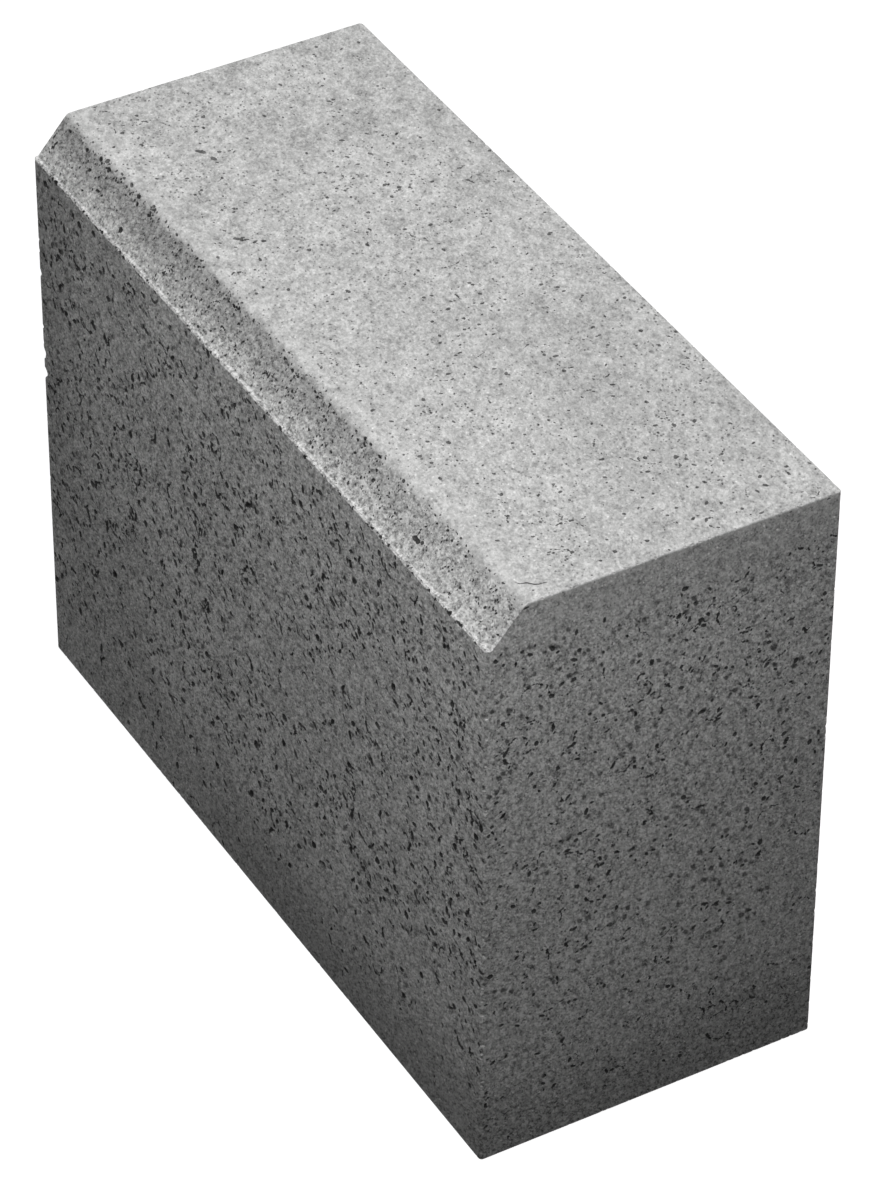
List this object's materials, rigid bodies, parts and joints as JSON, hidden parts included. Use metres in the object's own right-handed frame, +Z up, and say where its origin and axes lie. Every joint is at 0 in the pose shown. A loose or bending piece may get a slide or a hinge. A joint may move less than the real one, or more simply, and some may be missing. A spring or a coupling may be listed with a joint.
{
  "type": "concrete kerb stone",
  "caption": "Short upright concrete kerb block with a sloped upper road edge, laid end to end to edge a road, path or parking bay.",
  "frame": {"origin": "middle of the bed, the face the stone stands on", "axes": "+X along the kerb line, -Y towards the road side with the sloped edge, +Z up"},
  "size_m": [0.335, 0.14, 0.25],
  "materials": {
    "concrete": "dry pressed concrete, matt, open-textured with fine sand grain and small voids"
  },
  "bodies": {
    "root": {"kerb_stone": "concrete"}
  },
  "joints": []
}
